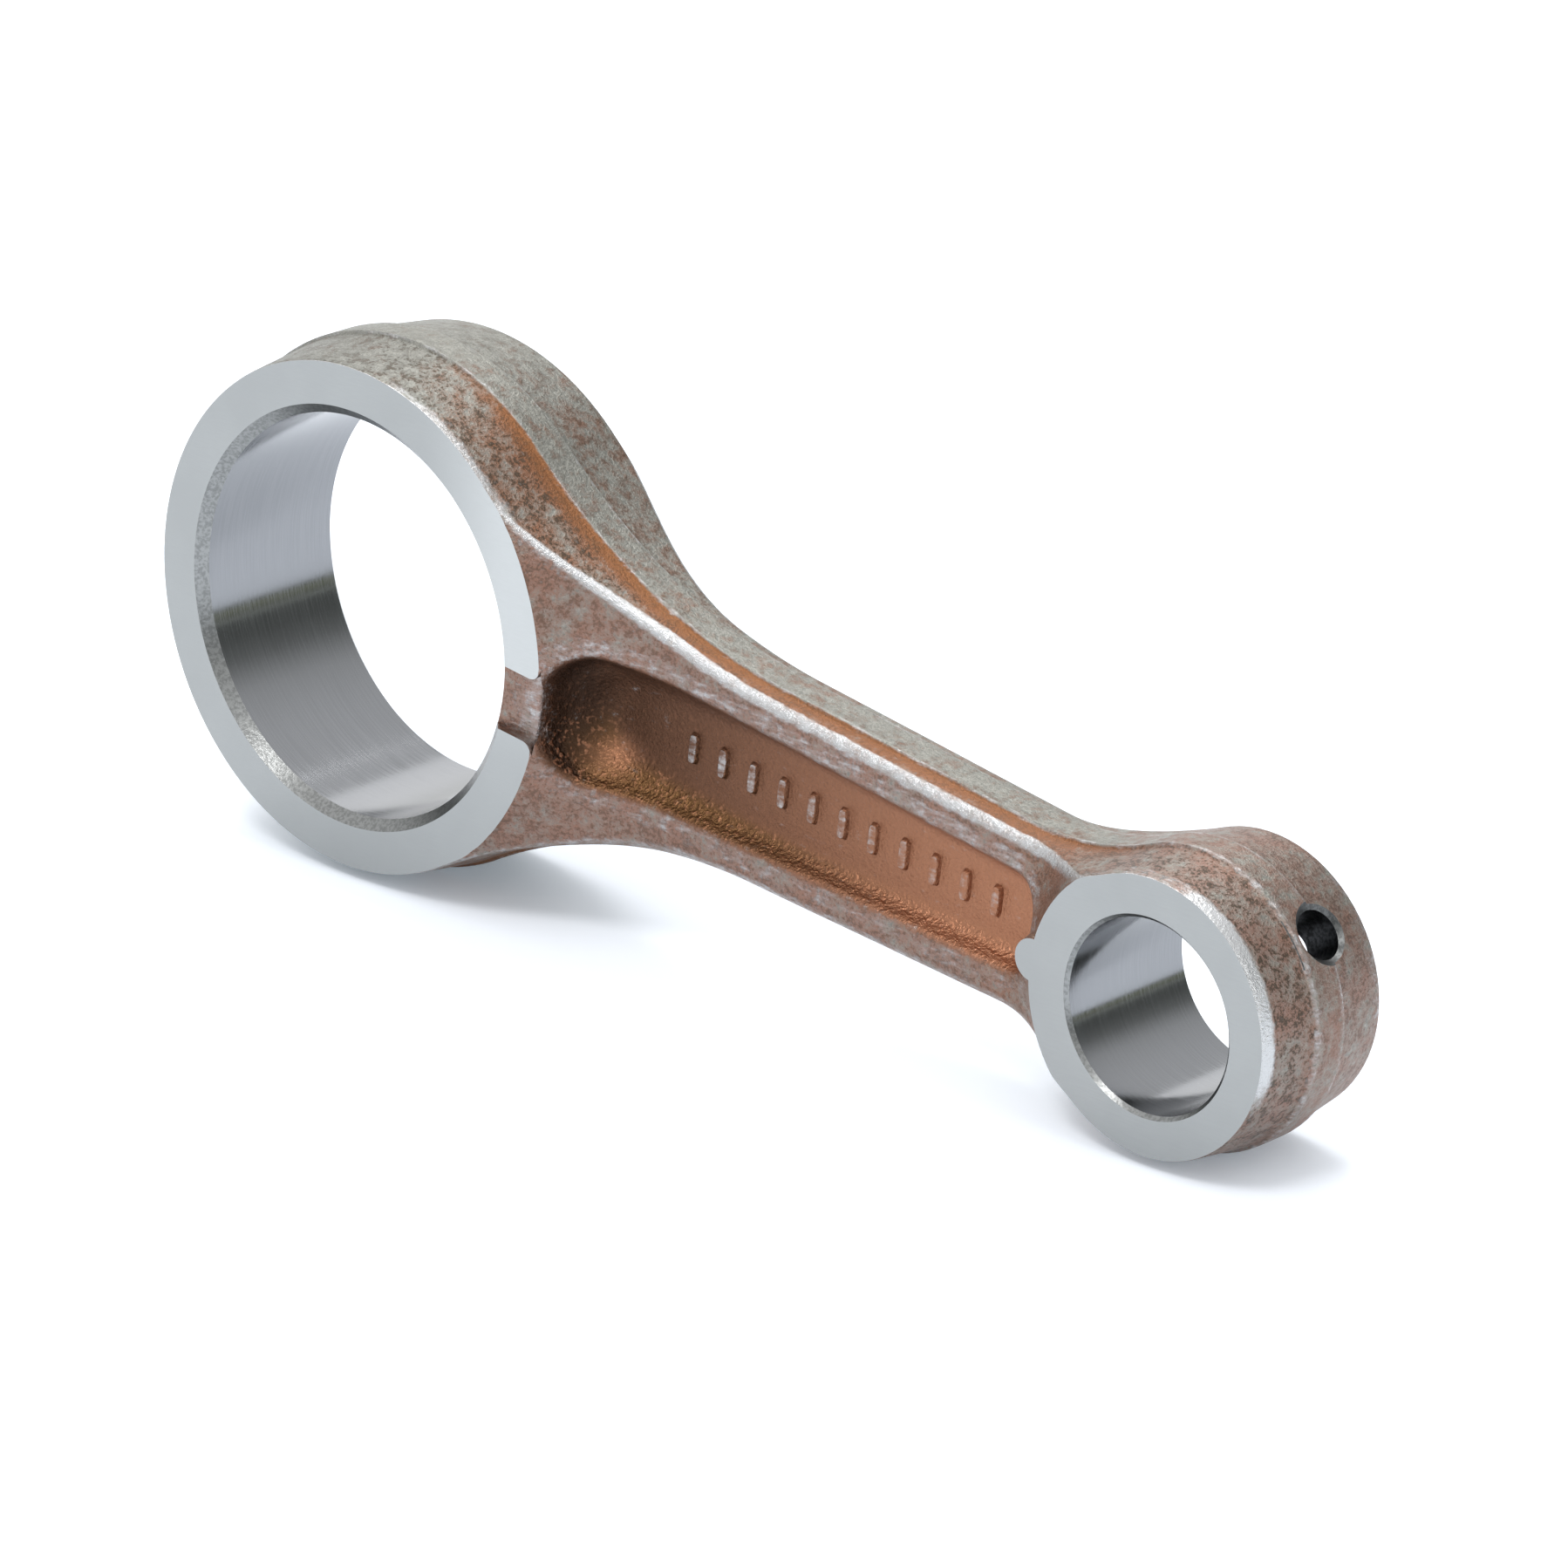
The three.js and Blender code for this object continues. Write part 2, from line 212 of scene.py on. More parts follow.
def pocket_depth_in(x, z, mm):
    """Distance inside the pocket's mouth, less than nothing outside it. The mouth is a tapered slot: the
    least of the distances to its ends and edges, and in a corner the corner's radius less the distance
    from the corner's centre. Deeper in, the big end's corners run over into rounder ones of radius R: R
    less the root of the sum of the squares of what the distances to the end and the edge fall short of
    R."""
    start, direction, normal = edge_line(POCKET_EDGE, mm.centre_distance)
    z = np.abs(z)
    to_edge = -((x - start[0]) * normal[0] + (z - start[1]) * normal[1])
    inside = np.minimum(np.minimum(x - POCKET_START, POCKET_END - x), to_edge)
    for side, radius in zip((-1.0, 1.0), POCKET_CORNERS):
        cx = (POCKET_START if side < 0 else POCKET_END) - side * radius
        travel = (cx + normal[0] * radius) / direction[0]
        cz = start[1] + direction[1] * travel - normal[1] * radius
        up = (z - cz) / normal[1]
        out = side * (x - cx - up * normal[0])
        corner = (up > 0) & (out > 0)
        inside = np.where(corner, radius - np.hypot(x - cx, z - cz), inside)
    short = np.maximum(FLOOR_CORNER - np.stack([x - POCKET_START, to_edge]), 0.0)
    rounder = np.where(short.min(axis=0) > 0, FLOOR_CORNER - np.hypot(*short), inside)
    return inside + (np.minimum(rounder, inside) - inside) * smooth(inside, 0.0, FLOOR_CORNER_DEPTH)


def pressed_height(x, z, mm):
    """Height of the face with its pocket: a floor, a concave fillet of radius a, a steep wall, and a
    convex rim of radius b that runs out on the face. Where the face is low the two arcs meet with no
    wall between them, at the slope whose cosine is 1 - height / (a + b). The radius a shrinks smoothly
    from the big end to the beam. The fillet leaves the floor gently: its run d is taken as (sqrt(d^2 +
    s^2) - s), scaled to end where it did."""
    face = face_height(x, z, mm)
    inside = pocket_depth_in(x, z, mm)
    height = face - mm.web_half
    shrunk = smooth(x, *FILLET_SHRINKS)
    fillet = POCKET_FILLETS[0] + (POCKET_FILLETS[1] - POCKET_FILLETS[0]) * shrunk
    both = fillet + POCKET_RIM
    slope = np.minimum(np.arccos(np.clip(1.0 - height / both, -1.0, 1.0)), STEEPEST_WALL)
    sine, cosine = np.sin(slope), np.cos(slope)
    fillet_run, rim_run = fillet * sine, POCKET_RIM * sine
    wall_run = np.maximum(height - both * (1.0 - cosine), 0.0) * cosine / sine
    low = np.clip(fillet_run - inside, 0.0, fillet_run)
    low, whole = (np.hypot(run, FILLET_EASE) - FILLET_EASE for run in (low, fillet_run))
    low = low * fillet_run / whole
    floor = mm.web_half + fillet - np.sqrt(fillet**2 - low**2)
    wall = np.clip(-inside, 0.0, wall_run) * sine / cosine
    over = np.clip(inside + wall_run + rim_run, 0.0, rim_run)
    rim = face - POCKET_RIM + np.sqrt(POCKET_RIM**2 - over**2)
    return np.where(inside > -wall_run, floor + wall, rim)


def neck_centre(end_centre, end_radius, edge, radius, side):
    """Centre of the arc tangent to a round end and to the beam's edge, on the big end's side (+1) or the
    small end's (-1): at radius from the edge, and at the sum of the radii from the end's centre."""
    start, direction, normal = edge
    offset = start + normal * radius - end_centre
    along = offset @ direction
    reach = (end_radius + radius) ** 2 - offset @ offset + along**2
    return offset + direction * (side * math.sqrt(reach) - along) + end_centre


def arc(centre, radius, start, end, outward):
    """Points along an arc, finely spaced, with the outward normals of the rod there."""
    angle = np.linspace(start, end, 1500)
    ray = np.stack([np.cos(angle), np.sin(angle)], axis=1)
    return centre + radius * ray, outward * ray


# How far apart the skin's lines stand, in millimetres: along the outline, and along the centre line where
# their feet are at the pocket's ends, on the beam and under the round ends.
OUTLINE_STEP = 1.1
POCKET_END_SPANS, POCKET_END_STEP = ((21.0, 29.5), (72.0, 84.0)), 0.22
BEAM_SPAN, BEAM_STEP, ROUND_END_STEP = (18.0, 85.0), 0.55, 1.0


def upper_outline(mm):
    """The upper half of the rod's outline at the parting plane, from the small end's tip to the big
    end's: points, outward normals, and where each normal meets the centre line. It is spaced by how far
    both travel."""
    edge = edge_line(BEAM_EDGE, mm.centre_distance)
    origin = np.zeros(2)
    big_neck = neck_centre(origin, mm.big_outer, edge, BIG_NECK, 1)
    small_neck = neck_centre(mm.small_centre, mm.small_outer, edge, SMALL_NECK, -1)
    big_angle = math.atan2(big_neck[1], big_neck[0])
    small_ray = small_neck - mm.small_centre
    small_angle = math.atan2(small_ray[1], small_ray[0])
    edge_angle = math.atan2(edge[1][1], edge[1][0]) - math.pi / 2
    arcs = [
        arc(mm.small_centre, mm.small_outer, 0.0, small_angle, 1),
        arc(small_neck, SMALL_NECK, small_angle - math.pi, edge_angle, -1),
        arc(big_neck, BIG_NECK, edge_angle, big_angle - math.pi, -1),
        arc(origin, mm.big_outer, big_angle, math.pi, 1),
    ]
    straight = np.linspace(arcs[1][0][-1], arcs[2][0][0], 1500)
    arcs.insert(2, (straight, np.broadcast_to(edge[2], straight.shape)))
    point = np.concatenate([a[0] for a in arcs])
    normal = np.concatenate([a[1] for a in arcs])
    upright = np.maximum(normal[:, 1], 1e-9)
    foot = point[:, 0] - point[:, 1] * normal[:, 0] / upright
    foot = np.clip(foot, 0.0, mm.centre_distance)
    level = normal[:, 1] < 1e-6
    foot[level] = np.where(point[level, 0] > 0, mm.centre_distance, 0.0)
    spacing = np.where((foot < BEAM_SPAN[0]) | (foot > BEAM_SPAN[1]), ROUND_END_STEP, BEAM_STEP)
    for low, high in POCKET_END_SPANS:
        spacing = np.where((foot > low) & (foot < high), POCKET_END_STEP, spacing)
    travel = np.hypot(*np.diff(point, axis=0).T) / OUTLINE_STEP + np.abs(np.diff(foot)) / spacing[1:]
    travel = np.concatenate([[0.0], np.cumsum(travel)])
    even = np.linspace(0.0, travel[-1], int(travel[-1]) + 1)
    pick = [np.interp(even, travel, column) for column in (*point.T, *normal.T, foot)]
    normal = np.stack(pick[2:4], axis=1)
    normal = normal / np.hypot(*normal.T)[:, None]
    return np.stack(pick[:2], axis=1), normal, pick[4]


# Points round the outer edge and down the side, the stretch over which the face's rise is taken, how far
# each side of the pocket's wall its close stations reach, and how many stations there are from the centre
# line out.
EDGE_POINTS = 9
RISE_RUN, MOST_RISE = 0.8, 1.2
WALL_REACH, WALL_TO_EDGE = (2.3, 1.05), 1.6
STATIONS = (11, 11, 7, 7)

# The flash belt's section: heights above its edge and, for a belt of the usual height, how far in each one
# lies.
BELT_TOP = 0.28
BELT_HEIGHTS = np.array([BELT_TOP, 0.14, 0.05, -0.04, -0.13, -0.28, -0.8])
BELT_INSETS, USUAL_BELT = np.array([0.03, -0.005, -0.09, -0.21, -0.28, -0.3, -0.3, -0.3]), 0.3


def skin_lines(mm, belt):
    """One half of the forging's skin as lines from the rod's centre line out to its parting plane. Each
    line runs over the face, round an arc tangent to the face and to the drafted side, down the side and
    over the flash belt. Returns x, y and z, one row to a line, for the upper half of the rod."""
    point, normal, foot = upper_outline(mm)
    reach = np.hypot(point[:, 0] - foot, point[:, 1])

    def face_at(inset):
        place = point - normal * inset[:, None]
        return face_height(place[:, 0], place[:, 1], mm)

    # The sharp corner between side and face, found by going from one to the other until they agree.
    corner = np.full(len(point), mm.beam_half)
    for _ in range(12):
        inset = (corner - belt) * DRAFT
        corner = 0.5 * corner + 0.5 * face_at(inset)
    rise = np.clip(face_at(inset + RISE_RUN) - face_at(inset), 0.0, MOST_RISE) / RISE_RUN
    down = np.array([-DRAFT, -1.0]) / math.hypot(DRAFT, 1.0)
    inward = np.stack([np.ones_like(rise), rise], axis=1) / np.hypot(1.0, rise)[:, None]
    opening = np.arccos(inward @ down)
    tangent = mm.rim_radius / np.tan(opening / 2)
    bisector = down + inward
    bisector = bisector / np.hypot(*bisector.T)[:, None]
    corner_point = np.stack([inset, corner], axis=1)
    middle = corner_point + bisector * (mm.rim_radius / np.sin(opening / 2))[:, None]
    first = corner_point + down * tangent[:, None] - middle
    last = corner_point + inward * tangent[:, None] - middle
    turn = np.arccos(np.clip((first * last).sum(1) / mm.rim_radius**2, -1, 1))[:, None]
    share = np.linspace(0.0, 1.0, EDGE_POINTS)[None, :]
    weights = np.sin((1 - share) * turn) / np.sin(turn), np.sin(share * turn) / np.sin(turn)
    rim_inset, rim_height = (
        middle[:, k, None] + weights[0] * first[:, k, None] + weights[1] * last[:, k, None] for k in (0, 1)
    )

    # The face, from the centre line to the arc, with its stations gathered round the pocket's edge.
    face_reach = reach - rim_inset[:, -1]
    start, direction, edge_normal = edge_line(POCKET_EDGE, mm.centre_distance)
    fall = -direction[1] / direction[0]
    wall = (start[1] - fall * foot) / (np.maximum(normal[:, 1], 0.2) + fall * normal[:, 0])
    wall = np.minimum(wall, face_reach - WALL_TO_EDGE)
    stops = [np.zeros_like(wall), wall - WALL_REACH[0], wall, wall + WALL_REACH[1], face_reach]
    parts = [
        low[:, None] + (high - low)[:, None] * np.arange(n)[None, :] / n
        for low, high, n in zip(stops[:-1], stops[1:], STATIONS)
    ]
    along = np.concatenate([*parts, face_reach[:, None]], axis=1)
    x = foot[:, None] + normal[:, :1] * along
    z = normal[:, 1:] * along
    y = pressed_height(x, z, mm)
    gap = rim_height[:, -1] - y[:, -1]
    y = y + gap[:, None] * np.exp(-(face_reach[:, None] - along) / 0.5)

    # The drafted side, down to the belt, and the belt itself.
    share = share[:, 1:-1]
    belt = belt[:, None]
    side_height = rim_height[:, :1] + (belt + BELT_TOP - rim_height[:, :1]) * share
    side_inset = (side_height - belt) * DRAFT
    belt_height = np.concatenate([belt + BELT_HEIGHTS[None, :], 0.0 * belt], axis=1)
    belt_inset = BELT_INSETS[None, :] * mm.belt_proud / USUAL_BELT
    rows = np.ones((len(point), 1))
    inset = np.concatenate([rim_inset[:, ::-1][:, 1:], side_inset, belt_inset * rows], axis=1)
    height = np.concatenate([rim_height[:, ::-1][:, 1:], side_height, belt_height * rows], axis=1)
    outer = point[:, None, :] - normal[:, None, :] * inset[:, :, None]
    x = np.concatenate([x, outer[:, :, 0]], axis=1)
    z = np.concatenate([z, outer[:, :, 1]], axis=1)
    y = np.concatenate([y, height], axis=1)
    return x, y, z


def welded(vertices, quads):
    """Vertices within a tenth of a micrometre made one, and each quad made two triangles. A triangle that
    loses a side is dropped, so a row drawn together into a pole becomes a closed fan."""
    keys = np.round(vertices / 1e-4).astype(np.int64)
    _, first, index = np.unique(keys, axis=0, return_index=True, return_inverse=True)
    index = index.reshape(-1)
    tris = index[np.concatenate([quads[:, [0, 1, 2]], quads[:, [0, 2, 3]]])]
    whole = (tris[:, 0] != tris[:, 1]) & (tris[:, 1] != tris[:, 2]) & (tris[:, 2] != tris[:, 0])
    return vertices[first], tris[whole]


def grid_quads(rows, columns, start=0):
    """Quads of a grid whose last row is joined to its first."""
    row = np.arange(rows)[:, None]
    column = np.arange(columns - 1)[None, :]
    after = (row + 1) % rows
    here, there = row * columns + column, after * columns + column
    corners = [here, here + 1, there + 1, there]
    return start + np.stack([np.broadcast_to(c, (row.size, columns - 1)).ravel() for c in corners], axis=1)


def placed(name, data):
    """An object that holds the data, in the scene."""
    made = bpy.data.objects.new(name, data)
    bpy.context.scene.collection.objects.link(made)
    return made


def mesh_object(name, points, faces):
    """A mesh object from its points and the corners of its faces."""
    mesh = bpy.data.meshes.new(name)
    mesh.from_pydata(points, [], faces)
    return placed(name, mesh)


def read(items, name, kind=float):
    """A property of three numbers, read from every vertex or face as the rows of an array."""
    values = np.empty(len(items) * 3, kind)
    items.foreach_get(name, values)
    return values.reshape(-1, 3)


def solid_object(name, vertices, quads):
    """A closed mesh object from a grid's vertices and quads, in millimetres, turned right side out by
    the sign of its volume: a sixth of the sum over its triangles of a . (b x c)."""
    points, tris = welded(vertices, quads)
    a, b, c = (points[tris[:, k]] for k in range(3))
    if (a * np.cross(b, c)).sum() < 0:
        tris = tris[:, ::-1]
    return mesh_object(name, points.tolist(), tris.tolist())


def forging_skin(mm):
    """The whole skin: the upper lines and their reflections below, over the front and over the back. The
    belt's edges wander by two sines of the line's number."""
    sheets = []
    wander = np.arange(len(upper_outline(mm)[0])) * 0.05
    for side, belt in ((-1.0, mm.belt_front), (1.0, mm.belt_back)):
        belt = belt + 0.07 * np.sin(wander) + 0.04 * np.sin(2.7 * wander + side)
        x, y, z = skin_lines(mm, belt)
        upper = np.stack([x, side * y, z], axis=2)
        lower = (upper * np.array([1.0, 1.0, -1.0]))[-2:0:-1]
        sheets.append(np.concatenate([upper, lower]))
    rows, columns = sheets[0].shape[:2]
    vertices = np.concatenate([s.reshape(-1, 3) for s in sheets])
    quads = np.concatenate([grid_quads(rows, columns), grid_quads(rows, columns, rows * columns)[:, ::-1]])
    return solid_object("forging_skin", vertices, quads)


def turned(name, profile, centre_x, facets):
    """A solid of revolution about an axis along Y: each (radius, y) of the profile carried round a
    circle."""
    angle = np.arange(facets)[:, None] * 2 * math.pi / facets
    radius, y = np.array(profile, float).T
    grid = np.stack([radius * np.cos(angle), y + 0 * angle, radius * np.sin(angle)], axis=2)
    grid = grid.reshape(-1, 3) + np.array([centre_x, 0.0, 0.0])
    return solid_object(name, grid, grid_quads(facets, len(profile)))


def lofted(name, sections):
    """A solid through closed sections of equal numbers of points, closed at each end by a fan to its
    middle."""
    sections = np.asarray(sections, float)
    first, last = (np.broadcast_to(s.mean(0), (1, *s.shape)) for s in (sections[0], sections[-1]))
    grid = np.concatenate([first, sections, last]).transpose(1, 0, 2)
    rows, columns = grid.shape[:2]
    return solid_object(name, grid.reshape(-1, 3), grid_quads(rows, columns))


def block(low, high):
    """The two sections of a plain block between two corners."""
    (x0, y0, z0), (x1, y1, z1) = low, high
    return [[(x, y0, z0), (x, y1, z0), (x, y1, z1), (x, y0, z1)] for x in (x0, x1)]


CLEAR = 6.0


def bore_tool(centre_x, radius, half_width, chamfer, facets):
    """The metal taken out of a bore with its two 45 degree chamfers."""
    end, neck = half_width + CLEAR, half_width - chamfer
    flare = radius + chamfer + CLEAR
    levels = np.linspace(-neck, neck, 9)
    profile = [(0, -end), (flare, -end), *((radius, y) for y in levels), (flare, end), (0, end)]
    return turned("bore", profile, centre_x, facets)


SLOT_HALF_WIDTH, SLOT_FLOOR = 3.0, 7.55
SLOT_START, SLOT_END = 16.0, 23.35
SLOT_ROUND_FROM, SLOT_ROUND = 22.2, 1.1
LIP_ROUND_FROM, LIP_ROUND = 22.35, 0.7


def slot_tool(side):
    """The oil slot across a big-end face. Its width opens out where it leaves the ring, w + r - sqrt(r^2
    - run^2), and its floor rolls over into the pocket in the same way."""
    x = np.concatenate([[SLOT_START], np.linspace(SLOT_ROUND_FROM, SLOT_END, 16)])
    opening = np.clip(x - SLOT_ROUND_FROM, 0.0, SLOT_ROUND)
    half = SLOT_HALF_WIDTH + SLOT_ROUND - np.sqrt(SLOT_ROUND**2 - opening**2)
    roll = np.clip(x - LIP_ROUND_FROM, 0.0, LIP_ROUND)
    floor = SLOT_FLOOR - LIP_ROUND + np.sqrt(LIP_ROUND**2 - roll**2)
    top = np.full_like(x, SLOT_FLOOR + CLEAR)
    ring = [(floor, -half), (floor, half), (top, half), (top, -half)]
    sections = np.stack([np.stack([x, side * y, z], axis=1) for y, z in ring], axis=1)
    return lofted("slot", sections)


OIL_HOLE_RADIUS, OIL_HOLE_COUNTERSINK, OIL_HOLE_SHIFT = 2.2, 0.75, 2.1
OIL_HOLE_ANGLE = math.radians(44.0)
OIL_HOLE_RAY = np.array([math.cos(OIL_HOLE_ANGLE), 0.0, math.sin(OIL_HOLE_ANGLE)])


def oil_hole_axis(points, mm):
    """Distance along the oil hole from the small bore's centre, and distance from the hole's own axis."""
    out = points - np.array([mm.centre_distance, OIL_HOLE_SHIFT, 0.0])
    along = out @ OIL_HOLE_RAY
    return along, np.linalg.norm(out - along[:, None] * OIL_HOLE_RAY, axis=1)


def oil_hole_tool(mm):
    """The radial oil hole with its countersunk mouth, turned along its own axis and then set at its
    angle."""
    seat = mm.small_outer - OIL_HOLE_COUNTERSINK
    profile = [
        (0, mm.small_bore - 2),
        (OIL_HOLE_RADIUS, mm.small_bore - 2),
        (OIL_HOLE_RADIUS, seat),
        (OIL_HOLE_RADIUS + CLEAR, seat + CLEAR),
        (0, seat + CLEAR),
    ]
    made = turned("oil_hole_tool", profile, 0.0, 72)
    turn = Matrix.Rotation(-OIL_HOLE_ANGLE, 4, "Y") @ Matrix.Rotation(-math.pi / 2, 4, "Z")
    made.data.transform(Matrix.Translation((mm.centre_distance, OIL_HOLE_SHIFT, 0.0)) @ turn)
    return made


LUG_CENTRE_X, LUG_RADIUS = 80.1, 1.9


def lug_body(mm):
    """The rounded lug on each small-end face, with a flared foot: r + 0.15 d + 0.045 d^2 at depth d
    below it."""
    depth = np.linspace(0.0, mm.small_half_width - 4.0, 12)
    radius = LUG_RADIUS + 0.15 * depth + 0.045 * depth**2
    top = mm.small_half_width + GRINDING_STOCK
    upper = [(0.0, top), (LUG_RADIUS, top), *zip(radius, mm.small_half_width - depth)]
    lower = [(r, -y) for r, y in reversed(upper)]
    return turned("lug_body", upper + lower, LUG_CENTRE_X, 64)


BAR_COUNT, BAR_FIRST, BAR_PITCH = 11, 36.0, 3.5
BAR_HALF_WIDTH, BAR_HEIGHT = 0.5, 0.46


def raised_bars(mm):
    """The row of plain raised bars on the front of the web. Each is a rounded oblong, a circle with its
    cosine and sine drawn towards a square, carried up through rings that draw in over its top."""
    angle = np.arange(40)[:, None] * 2 * math.pi / 40
    spread = np.array([0.0, 1.35, 1.35, 1.15, 1.0, 0.9, 0.74, 0.5, 0.0])[None, :]
    height = np.array([-1.0, -1.0, -0.1, 0.02, 0.35, 0.72, 0.95, 1.0, 1.0])[None, :]
    across, along = (np.sign(f) * np.abs(f) ** 0.5 for f in (np.cos(angle), np.sin(angle)))
    end = mm.bar_length / 2 - BAR_HALF_WIDTH
    x = across * BAR_HALF_WIDTH * spread
    z = along * (BAR_HALF_WIDTH * spread + end * np.minimum(spread * 4, 1.0))
    y = -(mm.web_half + BAR_HEIGHT * height) + 0 * x
    bar = np.stack([x, y, z], axis=2).reshape(-1, 3)
    starts = BAR_FIRST + BAR_PITCH * np.arange(BAR_COUNT)
    vertices = (bar[None] + np.stack([starts, 0 * starts, 0 * starts], axis=1)[:, None, :]).reshape(-1, 3)
    quads = np.concatenate([grid_quads(40, spread.size, k * len(bar)) for k in range(BAR_COUNT)])
    return solid_object("raised_bars", vertices, quads)


def joined(name, parts):
    """Closed meshes that don't touch, made one mesh."""
    corners, faces, start = [], [], 0
    for part in parts:
        corners.append(read(part.data.vertices, "co"))
        faces.append(read(part.data.polygons, "vertices", np.int32) + start)
        start += len(part.data.vertices)
        bpy.data.objects.remove(part)
    return mesh_object(name, np.concatenate(corners).tolist(), np.concatenate(faces).tolist())


def machined(body, steps):
    """The body after each (operation, tool) in turn, as a new mesh. The tools are used up."""
    for operation, tool in steps:
        cut = body.modifiers.new(tool.name, "BOOLEAN")
        cut.operation, cut.object, cut.solver = operation, tool, "MANIFOLD"
    graph = bpy.context.evaluated_depsgraph_get()
    mesh = bpy.data.meshes.new_from_object(body.evaluated_get(graph))
    for _, tool in steps:
        bpy.data.objects.remove(tool)
    bpy.data.objects.remove(body)
    return mesh


# The blocks ground off the faces: their half width, their height, and where they end along the rod.
STOCK_WIDE, STOCK_TOP = 60.0, 20.0
STOCK_BIG, STOCK_SMALL = (-60.0, 58.0), (62.0, 150.0)


def rod_mesh(mm):
    """The forging, its lugs and bars, then its grinding, its bores, its oil slots and its oil hole."""
    ends = (STOCK_BIG, mm.big_half_width), (STOCK_SMALL, mm.small_half_width)
    stock = [
        lofted("stock", block((x0, y0, -STOCK_WIDE), (x1, y1, STOCK_WIDE)))
        for (x0, x1), half in ends
        for y0, y1 in ((half, STOCK_TOP), (-STOCK_TOP, -half))
    ]
    bores = [
        bore_tool(0.0, mm.big_bore, mm.big_half_width, mm.big_chamfer, 240),
        bore_tool(mm.centre_distance, mm.small_bore, mm.small_half_width, mm.small_chamfer, 160),
    ]
    return machined(
        forging_skin(mm),
        [
            ("UNION", raised_bars(mm)),
            ("UNION", lug_body(mm)),
            ("DIFFERENCE", joined("stock", stock)),
            ("DIFFERENCE", joined("bores", bores)),
            ("DIFFERENCE", joined("slots", [slot_tool(-1.0), slot_tool(1.0)])),
            ("DIFFERENCE", oil_hole_tool(mm)),
        ],
    )


# ---- where finishes lie ----


def bump_at(value, middle, width):
    """1 at the middle, and falling away as exp(-((value - middle) / width)^2)."""
    return np.exp(-(((value - middle) / width) ** 2))


def outline_inset(x, z, mm):
    """Distance inside the rod's outline: a round end's radius less the distance from its centre, the
    distance from a neck's centre less its radius, or the distance from the beam's edge."""
    z = np.abs(z)
    edge = edge_line(BEAM_EDGE, mm.centre_distance)
    start, _, normal = edge
    inset = -((x - start[0]) * normal[0] + (z - start[1]) * normal[1])
    middle = mm.centre_distance / 2
    big = (np.zeros(2), mm.big_outer, BIG_NECK, 1, x < middle)
    small = (mm.small_centre, mm.small_outer, SMALL_NECK, -1, x >= middle)
    for centre, outer, neck_radius, side, here in (big, small):
        neck = neck_centre(centre, outer, edge, neck_radius, side)
        tangent_x = neck[0] - neck_radius * normal[0]
        on_neck = (neck[0] - centre[0]) * side
        # A point is on the round end where its ray from the end's centre is turned further than the neck's.
        dx, dz = (x - centre[0]) * side, z - centre[1]
        turned_past = dz * on_neck > dx * (neck[1] - centre[1])
        ring = outer - np.hypot(dx, dz)
        concave = np.hypot(x - neck[0], z - neck[1]) - neck_radius
        beyond = (x - tangent_x) * side < 0
        inset = np.where(here & beyond, np.where(turned_past | (dx < 0), ring, concave), inset)
    return inset


def paint(mesh, name, values, kind="FLOAT", field="value"):
    """Writes one number, or one colour, to each vertex as a named attribute."""
    attribute = mesh.attributes.new(name, kind, "POINT")
    attribute.data.foreach_set(field, values.astype(np.float32).ravel())


def mixed(first, second, share):
    """Two colours mixed by a share for each vertex."""
    return first + (second - first) * share[:, None]


